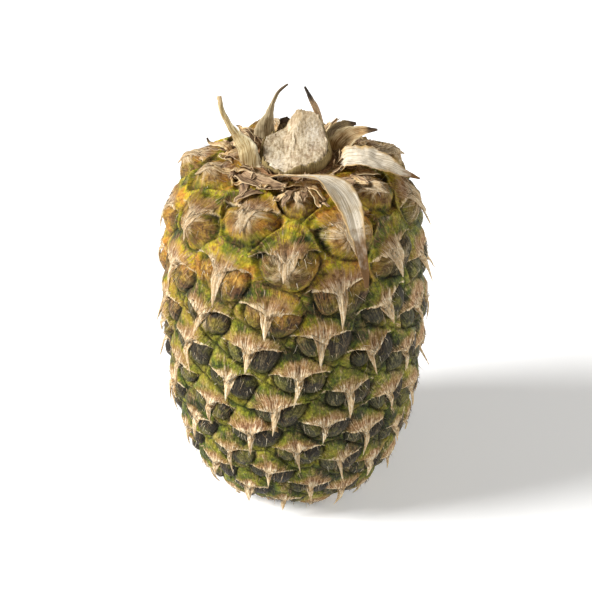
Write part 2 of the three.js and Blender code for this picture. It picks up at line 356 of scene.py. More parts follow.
def blurred(field, steps):
    """A field of the skin's grid, smoothed over so many rows and columns."""
    waves = np.fft.fftfreq(ALONG)[:, None] ** 2 * steps**2 + np.fft.rfftfreq(ROUND) ** 2 * steps**2
    return np.fft.irfft2(np.fft.rfft2(field) * np.exp(-2 * math.pi**2 * waves), s=field.shape)


ACROSS, DOWN, INDEX, BORDER = make_skin_fields()
END_FADE = smooth(GRID_ALONG, 0, SCAR_FADE) * smooth(OUTLINE_LENGTH - GRID_ALONG, 0, COLLAR_FADE)
RELIEF = eye_relief(ACROSS, DOWN, BORDER, INDEX, FLAT_PLACE) * EYES.size[INDEX] * END_FADE
# How far the skin lies below its smoothed self: it sets where shade and a highlight are painted into the
# rind's colour.
HOLLOW = blurred(RELIEF, HOLLOW_REACH) - RELIEF


def relief_at(heading, along):
    """The skin's height over the outline anywhere, read from the grid."""
    column = (heading + math.pi) / TURN * ROUND
    row = np.clip(along / OUTLINE_LENGTH * (ALONG - 1), 0, ALONG - 1.001)
    c0, r0 = np.floor(column).astype(int), np.floor(row).astype(int)
    fc, fr = column - c0, row - r0
    c0, c1 = c0 % ROUND, (c0 + 1) % ROUND
    top = lerp(RELIEF[r0 + 1, c0], RELIEF[r0 + 1, c1], fc)
    return lerp(lerp(RELIEF[r0, c0], RELIEF[r0, c1], fc), top, fr)


# ---- Mesh building ----
def add_object(name, data):
    made = bpy.data.objects.new(name, data)
    bpy.context.scene.collection.objects.link(made)
    return made


def make_piece(name, points, faces, material, layers=None, replaced=()):
    """A smooth mesh piece from places in millimetres and faces with four corners each."""
    mesh = bpy.data.meshes.new(name)
    faces = np.asarray(faces, np.int32)
    mesh.vertices.add(len(points))
    mesh.vertices.foreach_set("co", (np.asarray(points) * MM).astype(np.float32).ravel())
    mesh.loops.add(faces.size)
    mesh.loops.foreach_set("vertex_index", faces.ravel())
    mesh.polygons.add(len(faces))
    mesh.polygons.foreach_set("loop_start", np.arange(0, faces.size, faces.shape[1], dtype=np.int32))
    mesh.polygons.foreach_set("use_smooth", np.ones(len(faces), bool))
    mesh.update(calc_edges=True)
    for key, values in (layers or {}).items():
        layer = mesh.attributes.new(key, "FLOAT", "POINT")
        layer.data.foreach_set("value", np.asarray(values, np.float32).ravel())
    mesh.validate()
    mesh.materials.append(material)
    piece = add_object(name, mesh)
    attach(piece, "root")
    if replaced:
        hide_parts(*replaced)
    return piece


def grid_faces(rows, columns, wrap=False):
    """Faces of a grid of points that is stored row by row."""
    number = np.arange(rows * columns).reshape(rows, columns)
    if wrap:
        number = np.hstack([number, number[:, :1]])
    corners = [number[:-1, :-1], number[:-1, 1:], number[1:, 1:], number[1:, :-1]]
    return np.stack(corners, -1).reshape(-1, 4)


class Sheets:
    """Collects thin closed sheets, each given as a grid of points with a thickness."""

    def __init__(self):
        self.points, self.faces, self.layers, self.count = [], [], {}, 0

    def add(self, grid, thickness, **layers):
        """Adds a sheet: its front, its back, and the side all round that joins them."""
        shape = rows, columns = grid.shape[:2]
        size = rows * columns
        normal = unit(np.cross(np.gradient(grid, axis=1), np.gradient(grid, axis=0)), TINY)
        half = normal * (np.broadcast_to(thickness, shape)[..., None] / 2)
        front, back = grid + half, grid - half
        number = np.arange(size).reshape(shape)
        rim = np.concatenate([number[0], number[1:, -1], number[-1, -2::-1], number[-2:0:-1, 0]])
        after = np.roll(rim, -1)
        sides = np.stack([rim, rim + size, after + size, after], -1)
        body = grid_faces(rows, columns)
        self.faces += [faces + self.count for faces in (body[:, ::-1], body + size, sides[:, ::-1])]
        self.points += [front.reshape(-1, 3), back.reshape(-1, 3)]
        for key, values in layers.items():
            self.layers.setdefault(key, []).extend([np.broadcast_to(values, shape).ravel()] * 2)
        self.count += 2 * size

    def piece(self, name, material, slot, replaced=()):
        """Everything collected so far as one piece."""
        layers = {key: np.concatenate(values) for key, values in self.layers.items()}
        points, faces = np.concatenate(self.points), np.concatenate(self.faces)
        return make_piece(name, points, faces, material, layers, replaced)


# ---- Materials ----
def linear(colour):
    """A hex colour as a shader colour."""
    parts = [int(colour[i:i + 2], 16) / 255 for i in (1, 3, 5)]
    return [c / 12.92 if c <= 0.04045 else ((c + 0.055) / 1.055) ** 2.4 for c in parts] + [1]


class Paint:
    """Builds one node material. Each method adds a node and returns its output."""

    def __init__(self, name):
        self.material = bpy.data.materials.new(name)
        self.material.use_nodes = True
        self.tree = self.material.node_tree
        self.shader = self.tree.nodes["Principled BSDF"]

    def coordinates(self):
        return self.node("ShaderNodeTexCoord").outputs["Object"]

    def node(self, kind, inputs=None, **settings):
        made = self.tree.nodes.new(kind)
        for key, value in settings.items():
            setattr(made, key, value)
        for key, value in (inputs or {}).items():
            self.set(made.inputs[key], value)
        return made

    def set(self, socket, value):
        if isinstance(value, bpy.types.NodeSocket):
            self.tree.links.new(value, socket)
        else:
            socket.default_value = value

    def layers(self, names):
        """The mesh's layers of these names, as a list of outputs."""
        nodes = [self.node("ShaderNodeAttribute", attribute_name=name) for name in names.split()]
        return [node.outputs["Fac"] for node in nodes]

    def vector(self, x, y, z):
        return self.node("ShaderNodeCombineXYZ", {"X": x, "Y": y, "Z": z}).outputs[0]

    def math(self, kind, a, b):
        made = self.node("ShaderNodeMath", operation=kind)
        self.set(made.inputs[0], a)
        self.set(made.inputs[1], b)
        return made.outputs[0]

    def plus(self, a, b):
        return self.math("ADD", a, b)

    def times(self, a, b):
        return self.math("MULTIPLY", a, b)

    def swing(self, value, amount=None):
        """A noise's swing about its middle, times an amount if one is given."""
        centred = self.math("SUBTRACT", value, 0.5)
        return centred if amount is None else self.times(centred, amount)

    def blend(self, a, b, share):
        """Two values averaged, with this share of the second."""
        return self.plus(self.times(a, 1 - share), self.times(b, share))

    def noise(self, vector, scale, detail=3.0, roughness=0.6):
        made = self.node("ShaderNodeTexNoise", {"Vector": vector, "Scale": scale, "Detail": detail,
                                                "Roughness": roughness})
        return made.outputs["Fac"]

    def range(self, value, low, high, to_low=0.0, to_high=1.0):
        return self.node("ShaderNodeMapRange", {"Value": value, "From Min": low, "From Max": high,
                                                "To Min": to_low, "To Max": to_high}).outputs[0]

    def mix(self, share, a, b, kind="MIX"):
        made = self.node("ShaderNodeMix", data_type="RGBA", blend_type=kind)
        self.set(made.inputs["Factor"], share)
        for socket, value in zip(("A", "B"), (a, b)):
            target = [s for s in made.inputs if s.name == socket and s.type == "RGBA"][0]
            self.set(target, linear(value) if isinstance(value, str) else value)
        return [s for s in made.outputs if s.type == "RGBA"][0]

    def ramp(self, share, stops):
        made = self.node("ShaderNodeValToRGB", {"Fac": share})
        elements = made.color_ramp.elements
        while len(elements) < len(stops):
            elements.new(0.5)
        for element, (spot, colour) in zip(elements, stops.items()):
            element.position = spot
            element.color = linear(colour)
        return made.outputs[0]

    def finish(self, colour, roughness, bumps, specular):
        """Sets the shader's inputs. Each bump is a height and the millimetres that it stands for."""
        self.set(self.shader.inputs["Base Color"], colour)
        self.set(self.shader.inputs["Roughness"], roughness)
        self.shader.inputs["Specular IOR Level"].default_value = specular
        normal = None
        for height, distance in bumps:
            inputs = {"Height": height, "Distance": distance * MM, "Strength": 1.0}
            if normal is not None:
                inputs["Normal"] = normal
            normal = self.node("ShaderNodeBump", inputs).outputs[0]
        if normal is not None:
            self.set(self.shader.inputs["Normal"], normal)
        return self.material


RIND_LAYERS = "paper fuzz sepal right hollow tint ripe groove strand reach ridge foot"


def rind_flesh(p, on):
    """Green flesh, more golden where it is ripe, with a painted highlight on the ridges."""
    green = p.ramp(on.blotch, {0.36: "#2c3408", 0.46: "#4e5c10", 0.54: "#7c821c", 0.66: "#a49c30"})
    golden = p.ramp(on.blotch, {0.36: "#2e3a08", 0.44: "#7c8012", 0.53: "#ceb428", 0.61: "#c88a32"})
    flesh = p.mix(p.range(on.ripe, 0.2, 0.8), green, golden)
    # Painted highlight: the flesh is lightened where the skin stands up in ridges.
    return p.mix(p.times(on.ridge, 0.7), flesh, p.mix(on.ripe, "#aaa040", "#d6c83c"))


def rind_fuzz(p, on):
    """Pinkish brown fuzz, speckled where it is ripe, and redder on some eyes."""
    stops = {0.34: "#765238", 0.46: "#b08862", 0.56: "#d4b188", 0.68: "#f2e0bc"}
    brown = p.mix(p.times(on.ripe, p.range(on.grit, 0.5, 0.6)), p.ramp(on.streak, stops), "#6a5044")
    return p.mix(p.range(on.tint, 1.6, 3, 0, 0.35), brown, "#8c5a40")


def rind_paper(p, on):
    stops = {0.34: "#a98558", 0.45: "#dcbf94", 0.55: "#f0deba", 0.68: "#fcf0d6"}
    return p.mix(p.times(on.ripe, 0.2), p.ramp(on.streak, stops), "#b8915f")


def rind_sepals(p, on, flesh):
    """Striped sepals: dark on the right, olive on the left, ochre where ripe, mossy at the foot."""
    dark = p.ramp(on.streak, {0.32: "#1e1a0e", 0.46: "#383020", 0.56: "#4c4330", 0.7: "#877a58"})
    olive = p.ramp(on.streak, {0.32: "#26260f", 0.46: "#464426", 0.56: "#5e5a38", 0.7: "#90865c"})
    speckle = p.blend(on.lump, on.streak, 0.25)
    ochre = p.ramp(speckle, {0.38: "#2e2010", 0.46: "#6e4a24", 0.53: "#b8883a", 0.62: "#dcb868"})
    sepals = p.mix(p.range(p.plus(on.right, p.swing(on.lump)), 0.3, 0.7), olive, dark)
    sepals = p.mix(p.range(on.tint, 1.2, 2.7, 0, 0.55), sepals, "#1c160a")
    sepals = p.mix(p.range(p.plus(on.ripe, p.swing(on.blotch)), 0.3, 0.85), sepals, ochre)
    moss = p.math("MAXIMUM", p.range(on.blotch, 0.53, 0.62), on.foot)
    return p.mix(p.times(moss, p.range(on.ripe, 0, 1, 0.3, 0.75)), sepals, flesh)


def rind_material():
    """Green to golden flesh that turns ochre and then brown and fuzzy towards each point, a cream
    papery edge and point, and dark striped sepals, chosen by what the layers say lies where."""
    p = Paint("rind")
    on = SimpleNamespace(**dict(zip(RIND_LAYERS.split(), p.layers(RIND_LAYERS))))
    place = p.coordinates()
    on.lump = p.noise(place, 170, 3)
    on.blotch = p.noise(place, 70, 3, 0.65)
    on.grit = p.noise(place, 900, 3, 0.7)
    on.streak = p.noise(p.vector(on.strand, p.times(on.reach, 0.16), on.tint), 1.0, 2.5, 0.65)

    def shifted(mask, streaks, lumps, soft):
        """A mask whose border is broken up by the streaks and the lumps."""
        moved = p.plus(mask, p.plus(p.swing(on.streak, streaks), p.swing(on.lump, lumps)))
        return p.range(moved, 0.5 - soft, 0.5 + soft)

    flesh = rind_flesh(p, on)
    near = p.plus(on.fuzz, p.swing(on.blotch, 0.8))
    colour = p.mix(p.range(near, 0.0, 0.4, 0, 0.7), flesh, p.mix(on.ripe, "#9a8a2c", "#c49a34"))
    fringe = shifted(p.plus(on.fuzz, 0.15), 0.9, 1.0, 0.35)
    fringe = p.times(fringe, p.range(on.ripe, 0, 1, 0.8, 0.4))
    colour = p.mix(fringe, colour, p.mix(on.ripe, "#a07444", "#b08048"))
    colour = p.mix(shifted(on.fuzz, 1.3, 1.2, 0.4), colour, rind_fuzz(p, on))
    colour = p.mix(shifted(on.paper, 1.4, 0.8, 0.3), colour, rind_paper(p, on))
    colour = p.mix(on.sepal, colour, rind_sepals(p, on, flesh))

    spots = p.range(p.blend(p.noise(place, 230, 4, 0.7), on.streak, 0.3), 0.5, 0.56)
    bruise = p.times(p.times(spots, p.range(on.ripe, 0.1, 0.6)), p.range(on.paper, 0.2, 0.6, 0.75, 0))
    bruised = p.ramp(on.streak, {0.36: "#3c2416", 0.5: "#744c2c", 0.64: "#a67c50"})
    colour = p.mix(bruise, colour, bruised)
    # Painted shade: a dark green along the borders between young eyes, standing in for shade in the grooves.
    colour = p.mix(p.times(on.groove, 0.25), colour, "#34380c")
    # Painted shade: the skin's dips are darkened towards near black, standing in for the shade that falls in
    # them.
    colour = p.mix(p.times(on.hollow, 0.75), colour, "#181404")
    grain = p.ramp(on.grit, {0.36: "#101010", 0.5: "#808080", 0.64: "#f0f0f0"})
    colour = p.mix(p.range(on.ripe, 0, 1, 0.7, 0.4), colour, grain, "SOFT_LIGHT")
    roughness = p.range(p.math("MAXIMUM", on.paper, on.fuzz), 0, 1, 0.5, 0.8)
    return p.finish(colour, roughness, [(on.streak, 0.8), (on.grit, 0.45), (on.lump, 0.4)], 0.22)


# ---- The skin ----
OPEN_SKIN = 3.0  # a border distance that lies clear of every groove


def eye_layers(across, down, border, hollow, index, place):
    """The layers that the rind's material reads, at local places on the eyes."""
    below = down - bract_edge(across, index)
    oval = sepals(across, down, index)[0]
    old = EYES.old[index]
    sepal = smooth(below, -0.1, 0.3) * smooth(-oval, -1.15, lerp(-0.9, 0.1, old))
    scraps = star(across, down, index)
    halo = old * (1.2 - np.hypot(across / 8.5, (down - 0.5) / 8.0) + 0.35 * noise(place, 4, 42, 2))
    sepal *= 1 - np.clip(1.5 * np.maximum(scraps, 0.5 * halo), 0, 1)
    middle = bell(across, 5.0)
    paper = 1.15 - np.abs(below) / (0.7 + 6.4 * middle) + 0.5 * middle * smooth(down, -5, 0)
    paper -= 0.8 * np.clip(noise(place, 4, 43), 0, 1) * (1 - middle)
    paper = np.clip(paper, 0, 1.3) * (1 - 0.8 * sepal) * (1 - 0.4 * old)
    fuzz = 1.2 + 0.2 * EYES.curl[index] - np.hypot((across - 0.8) / 11, (down + 4.0) / 7)
    fuzz = np.maximum(fuzz * smooth(-below, -0.3, 0.3), 0.8 * halo)
    # Ripeness grows towards the top, where the eyes are older and really golden, and towards the lit left
    # side, where its lighter, more golden colour is painted light.
    up_and_towards_light = place[..., 2] / HEIGHT - 0.0022 * place[..., 0] + 0.12 * noise(place, 25, 31)
    strand, reach = flow(across, down, sepal, index)
    return {
        "sepal": sepal,
        "right": smooth(across, -2, 2),
        "fuzz": np.clip(fuzz + 0.25 * noise(place, 5, 21, 2), 0, 1.2),
        "paper": np.maximum(paper, scraps),
        # painted shade along the border between young eyes
        "groove": (1 - smooth(border, 0.1, 1.8)) * (1 - old),
        # painted shade, strongest where the skin lies deepest below its smoothed self
        "hollow": smooth(hollow, 0.05, 1.1),
        # painted highlight where the skin stands above its smoothed self
        "ridge": smooth(-hollow, 0.15, 1.1),
        "foot": smooth(down, 3, 7.5),
        "tint": EYES.seed[index] * 3,
        "ripe": smooth(up_and_towards_light, 0.5, 1.05),
        "strand": strand,
        "reach": reach,
    }


# The flat caps at both ends take a little painted groove shade too.
CAP_LAYERS = {"fuzz": 0.9, "groove": 0.3, "tint": 0.4}


def cap_rings(edge, height):
    """Rings from the edge inwards that close an end of the skin with a flat disc."""
    shares = 1 - np.arange(1, CAP_RINGS + 1) / CAP_RINGS
    return np.stack([edge * np.array([share, share, 0]) + np.array([0, 0, height]) for share in shares])


def make_skin(material):
    """The fruit's whole surface, closed at both ends."""
    body = on_fruit(GRID_HEADING, GRID_ALONG, RELIEF)
    points = np.concatenate([cap_rings(body[0], 0)[::-1], body, cap_rings(body[-1], HEIGHT)]).reshape(-1, 3)
    points[:, 2] = np.maximum(points[:, 2], 0)
    layers = eye_layers(ACROSS, DOWN, BORDER, HOLLOW, INDEX, FLAT_PLACE)
    for key, values in layers.items():
        cap = np.full((CAP_RINGS, ROUND), CAP_LAYERS.get(key, 0.0))
        layers[key] = np.concatenate([cap, values, cap])
    faces = grid_faces(ALONG + 2 * CAP_RINGS, ROUND, wrap=True)
    return make_piece("rind", points, faces, material, layers, ("fruit",))


# ---- Bract edges and points ----
POINT_LENGTH = 13
POINT_HALF_WIDTH = 1.9
POINT_START = 1.2  # the outline leaves the bract's edge this far above the point's root
POINT_STEPS = 12
ARM_LEFT, ARM_RIGHT = -14, 15
ARM_STEPS = 10
ARM_DEPTH = 3.4  # how far the sheet reaches up the bract from its free edge
BRACT_COLUMNS = 41
BRACT_ROWS = 8
BRACT_THICKNESS = 0.2
POINT_THICKNESS = 0.5  # how much thicker the sheet is down the middle of its point
BARE_SCAR, BARE_COLLAR = 3, 6  # no bract or hair grows this near the scar or the collar


def bract_outline(i):
    """The free edge of eye i's bract from left to right, down and round its dry point."""
    drop = np.linspace(0, 1, POINT_STEPS)
    down = drop * POINT_LENGTH * EYES.length[i] - POINT_START
    half = POINT_HALF_WIDTH * EYES.breadth[i] * ((1 - drop) ** 1.4 + 0.2 * np.sqrt(1 - drop))
    left = np.stack([-half, down], -1)
    right = np.stack([half, down], -1)[:-1]
    corner = half[0] * 1.25
    arm_left = np.linspace(ARM_LEFT * EYES.arm_left[i], -corner, ARM_STEPS)
    arm_right = np.linspace(corner, ARM_RIGHT * EYES.arm_right[i], ARM_STEPS)
    arms = [np.stack([arm, bract_edge(arm, i) + 0.5], -1) for arm in (arm_left, arm_right)]
    return spline(np.concatenate([arms[0], left, right[::-1], arms[1]]), BRACT_COLUMNS)[0]


def bract_grid(i, share):
    """Local places across and down on eye i's sheet, from its foot on the bract to its torn edge."""
    edge = bract_outline(i)
    foot_across = np.linspace(edge[0, 0] + 1, edge[-1, 0] - 1, BRACT_COLUMNS)
    foot_across = lerp(foot_across, edge[:, 0], 0.6)
    foot_down = bract_edge(foot_across, i) - ARM_DEPTH
    hang = smooth(edge[:, 1], -3, 2)
    edge[:, 0] += 0.09 * EYES.lean[i] * np.clip(edge[:, 1], 0, None)
    tear = noise(places(edge[:, 0], edge[:, 1], EYES.seed[i] * 900), 1.5, 51, 2)
    torn = 0.5 + 0.6 * EYES.seed[i] + 1.6 * EYES.old[i]
    edge[:, 1] += torn * tear * (1 - 0.8 * hang)
    return lerp(foot_across, edge[:, 0], share), lerp(foot_down, edge[:, 1], share)


def bract_lift(i, across, down, heading, spot, share):
    """How far over the outline eye i's sheet lies: on the skin, and clear of it at the point."""
    length = POINT_LENGTH * EYES.length[i]
    ends = EYES.along[i] - np.array([-1.5, length]) * EYES.size[i]
    root, tip = relief_at(EYES.heading[[i, i]], ends)
    flying = lerp(root + 0.5, tip + 2.8 + 1.8 * abs(EYES.curl[i]), np.clip(down / length, 0, 1))
    lift = relief_at(heading, spot) + lerp(-0.4, 0.3, share**0.6)
    lift = np.where(down > -1.5, np.maximum(lift, lerp(lift, flying, smooth(down, -1.5, 1))), lift)
    return lift + 0.3 * bell(across, 0.8) * smooth(down, -4, 0)


def make_bracts(material):
    """The free lower edge of every bract, with its hanging point, as one thin sheet for each eye."""
    sheets = Sheets()
    share = np.linspace(0, 1, BRACT_ROWS)[:, None]
    for i in range(EYE_COUNT):
        along, size = EYES.along[i], EYES.size[i]
        if not BARE_SCAR < along < OUTLINE_LENGTH - BARE_COLLAR:
            continue
        across, down = bract_grid(i, share)
        heading = EYES.heading[i] + across * size / radius_at(np.clip(along, NARROWEST_ALONG, None))
        spot = np.clip(along - down * size, 0, OUTLINE_LENGTH)
        place = on_fruit(heading, spot, bract_lift(i, across, down, heading, spot, share))
        sunk = np.maximum(CLEARANCE - place[..., 2], 0)
        place[..., :2] *= 1 + (sunk / np.hypot(place[..., 0], place[..., 1]))[..., None]
        place[..., 2] += sunk
        on_bract = np.minimum(down, bract_edge(across, i) - 0.15)
        layers = eye_layers(across, on_bract, OPEN_SKIN, 0 * down, np.full(down.shape, i), place)
        layers["paper"] = layers["paper"] + 0.5 * smooth(down, -2, 0)
        length = POINT_LENGTH * EYES.length[i]
        body = bell(across, 1.4) * smooth(down, -4, 0) * smooth(-down, -length, -0.5 * length)
        sheets.add(place, BRACT_THICKNESS + POINT_THICKNESS * body, **layers)
    return sheets.piece("bract_points", material, "rind")


# ---- Hairs ----
HAIRS_PER_EYE = 54
HAIR_STEPS = 5
HAIR_SIDES = 3
HAIR_RADIUS = 0.1
FRINGE_SHARE = 0.5  # of the hairs hang from the bract's edge
SHORT_SHARE = 0.93  # of the hairs are half as long as the others


def hair_middles():
    """The middle line of every loose fibre: some hang from the bract's edge, and some lie on it
    and on the sepals."""
    count = EYE_COUNT * HAIRS_PER_EYE
    index = np.repeat(np.arange(EYE_COUNT), HAIRS_PER_EYE)
    fringe = rng.random(count) < FRINGE_SHARE
    across = rng.uniform(-12, 13, count)
    across[fringe] *= 0.55
    edge = bract_edge(across, index)
    down = np.where(fringe, edge - rng.uniform(-0.3, 3, count), edge + rng.uniform(-1.5, 10, count))
    turn = np.where(fringe, -0.11 * across, 0.02 * across) + rng.normal(0, 0.45, count)
    length = rng.uniform(1.6, 4.4, count) * np.where(fringe, 1.1, 0.9)
    length *= np.where(rng.random(count) > SHORT_SHARE, 2, 1)
    share = np.linspace(0, 1, HAIR_STEPS)
    bow = rng.normal(0, 0.5, count)[:, None] * share**2
    size = EYES.size[index][:, None]
    walk = share * length[:, None]
    x = across[:, None] + walk * np.sin(turn)[:, None] + bow
    y = down[:, None] + walk * np.cos(turn)[:, None]
    along = EYES.along[index][:, None] - y * size
    radius = radius_at(np.clip(along, NARROWEST_ALONG, OUTLINE_LENGTH))
    heading = EYES.heading[index][:, None] + x * size / radius
    kept = (along.min(1) > BARE_SCAR) & (along.max(1) < OUTLINE_LENGTH - BARE_COLLAR)
    along, heading = along[kept], heading[kept]
    lift = relief_at(heading, along) + 0.15 + rng.uniform(0, 1, kept.sum())[:, None] ** 3 * 3.2 * share
    middle = on_fruit(heading, along, lift)
    return middle[middle[..., 2].min(1) > CLEARANCE]


def make_hairs(material):
    """Every loose fibre as a fine tube that tapers to its tip."""
    middle = hair_middles()
    tangent = unit(np.gradient(middle, axis=1))
    side = unit(np.cross(tangent, np.array([0.0, 0.0, 1.0])), TINY)
    other = np.cross(tangent, side)
    angle = np.linspace(0, TURN, HAIR_SIDES, endpoint=False)
    radius = (HAIR_RADIUS * (1 - 0.75 * np.linspace(0, 1, HAIR_STEPS)))[None, :, None, None]
    around = side[:, :, None] * np.cos(angle)[:, None] + other[:, :, None] * np.sin(angle)[:, None]
    rings = middle[:, :, None] + around * radius
    per_hair = HAIR_STEPS * HAIR_SIDES
    starts = np.arange(len(rings)) * per_hair
    faces = (grid_faces(HAIR_STEPS, HAIR_SIDES, wrap=True)[None] + starts[:, None, None]).reshape(-1, 4)
    tone = np.repeat(rng.random(len(rings)) ** 1.5, per_hair)
    return make_piece("rind_hairs", rings.reshape(-1, 3), faces, material, {"tone": tone})


def hair_material():
    """Fibres from dark brown to cream, each of one tone."""
    p = Paint("hairs")
    tone = p.plus(*p.layers("tone"), p.times(p.noise(p.coordinates(), 500, 2), 0.2))
    colour = p.ramp(tone, {0.15: "#2c2010", 0.4: "#7c6240", 0.7: "#c0a47a", 1.0: "#efe2c6"})
    return p.finish(colour, 0.7, [], 0.3)


# ---- Stalk stump ----
STUMP_LOW, STUMP_HIGH = (Vector(corner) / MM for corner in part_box("stalk_stump"))
STUMP_RADIUS = (STUMP_HIGH.x - STUMP_LOW.x) / 2
STUMP_X, STUMP_Y = 0.2, 0.5
STUMP_NARROWING = 0.2  # how much narrower the torn end is at the back than the foot
STUMP_COLUMNS = 220
STUMP_WALL_ROWS = 18
STUMP_FACE_ROWS = 46
LEFT_FRONT, LEFT_BACK = 2.2, 8.0  # heights of the torn end over the stump's foot
RIGHT_FRONT, RIGHT_BACK = 4.8, 7.5
SPIRE = 9.7  # how much higher still the right side climbs at the back
LOWEST_WALL = 0.8


def torn_height(x, y):
    """Height of the stump's torn end, which climbs to the back, and much higher on the right."""
    climb = smooth(y, -STUMP_RADIUS, STUMP_RADIUS * 0.7)
    late = smooth(y, -STUMP_RADIUS * 0.3, STUMP_RADIUS * 0.75)
    step = smooth(x + 1.2 * np.sin(y * 0.5), -STUMP_RADIUS * 0.38, STUMP_RADIUS * 0.2)
    left = lerp(LEFT_FRONT, LEFT_BACK, climb)
    right = lerp(RIGHT_FRONT, RIGHT_BACK, climb) + SPIRE * late
    return lerp(left, right, step)


def make_stump(material):
    """The stump: a ribbed wall from the foot up, and rings over its torn end to the middle."""
    turn = np.linspace(0, TURN, STUMP_COLUMNS, endpoint=False)
    wall = np.linspace(0, 1, STUMP_WALL_ROWS)[:-1]
    face = np.linspace(1, 0, STUMP_FACE_ROWS) ** 0.9
    share = np.concatenate([[0] * 2, wall, np.ones(STUMP_FACE_ROWS)])[:, None]
    reach = np.concatenate([[0, 0.6], np.ones(len(wall)), face])[:, None]
    x = reach * STUMP_RADIUS * np.sin(turn)
    y = -reach * STUMP_RADIUS * np.cos(turn)
    flat = places(x, y, 0)
    waves, grain = noise(flat, 5, 61, 2), noise(flat * np.array([1.5, 0.6, 1]), 1.2, 62, 2)
    tufts = np.abs(noise(flat * np.array([1.6, 0.5, 1]), 1.5, 63, 2))
    smooth_end = torn_height(x, y)
    steep = smooth(np.hypot(*np.gradient(smooth_end)), 0.1, 0.9)
    end = smooth_end + 0.4 * waves + (0.12 + 0.6 * steep) * grain + (0.1 + 1.0 * steep) * tufts
    rim = np.where(share >= 1, smooth(reach, 0.86, 0.99), 1)
    rough_rim = rim * (0.9 * noise(flat * 1.5, 1.3, 64) + 0.4 * noise(flat, 3, 66))
    end += rough_rim - 0.9 * smooth(reach, 0.93, 1) * (share >= 1)
    narrow = 1 - STUMP_NARROWING * share * smooth(y, -STUMP_RADIUS, STUMP_RADIUS)
    around = places(np.sin(turn) * 60, np.cos(turn) * 60, 0)
    ribs = 1 + 0.016 * noise(around, 3, 65, 2) + 0.03 * noise(around, 25, 67)
    bulge = 1 + 0.04 * np.sin(share * math.pi) - 0.03 * smooth(share, 0.85, 1) * (reach > 0.98)
    place = places(x * narrow * ribs * bulge + STUMP_X, y * narrow * ribs * bulge + STUMP_Y,
                   HEIGHT + SEAT_GAP + share * np.maximum(end, LOWEST_WALL))
    right_patch = np.exp(-((x - 9) / 4) ** 2 - ((y - 2) / 5) ** 2)
    front_patch = np.exp(-((x + 8) / 5) ** 2 - ((y + 11) / 4) ** 2)
    layers = {
        "torn": np.broadcast_to((share >= 1) & (reach < 0.985), x.shape),
        "pit": 0.5 + 0.5 * grain + 0.4 * tufts,
        "turned": np.broadcast_to(turn * 30, x.shape),
        "pale": right_patch + front_patch,
        "old": smooth(smooth_end, 9, 15),
    }
    faces = grid_faces(len(place), STUMP_COLUMNS, wrap=True)
    points = place.reshape(-1, 3)
    return make_piece("stalk_stump_torn", points, faces, material, layers, ("stalk_stump",))


def stump_material():
    """Dry grey-tan pith with pale patches, browner high up, and olive bark round the foot."""
    p = Paint("stalk")
    torn, pit, turned, pale, old = p.layers("torn pit turned pale old")
    place = p.coordinates()
    grain = p.noise(place, 1000, 3, 0.7)
    patch = p.noise(place, 220, 3)
    stripes = p.noise(p.vector(turned, 0.0, p.times(patch, 2.0)), 1.0, 3)
    rough = p.blend(pit, grain, 0.6)
    pith = p.ramp(rough, {0.3: "#6e5c44", 0.43: "#a28e70", 0.54: "#c4b090", 0.7: "#e0d2b6"})
    pith = p.mix(p.range(patch, 0.5, 0.66, 0, 0.5), pith, "#9c8066")
    pith = p.mix(p.times(old, 0.5), pith, "#a08a68")
    pith = p.mix(p.times(pale, p.range(grain, 0.35, 0.65, 0.0, 0.9)), pith, "#e6dccb")
    bark = p.ramp(stripes, {0.3: "#5a4c30", 0.5: "#8a774e", 0.7: "#ab9664"})
    return p.finish(p.mix(torn, bark, pith), 0.85, [(grain, 0.35), (stripes, 0.2)], 0.2)


# ---- Dry leaves ----
LEAF_ROWS = 72
LEAF_COLUMNS = 19
LEAF_WALK = 90  # every leaf counts as this long in the noise that shapes it
ROOT_SINK = 2.4  # how deep a leaf's root is sunk in the collar
LEAF_EDGE, LEAF_MIDRIB = 0.25, 0.3  # thickness at the margins, and how much more in the middle
LEAF_SLOTS = {"pale": "pale_leaf", "dark": "dark_leaf", "withered": "dark_leaf"}

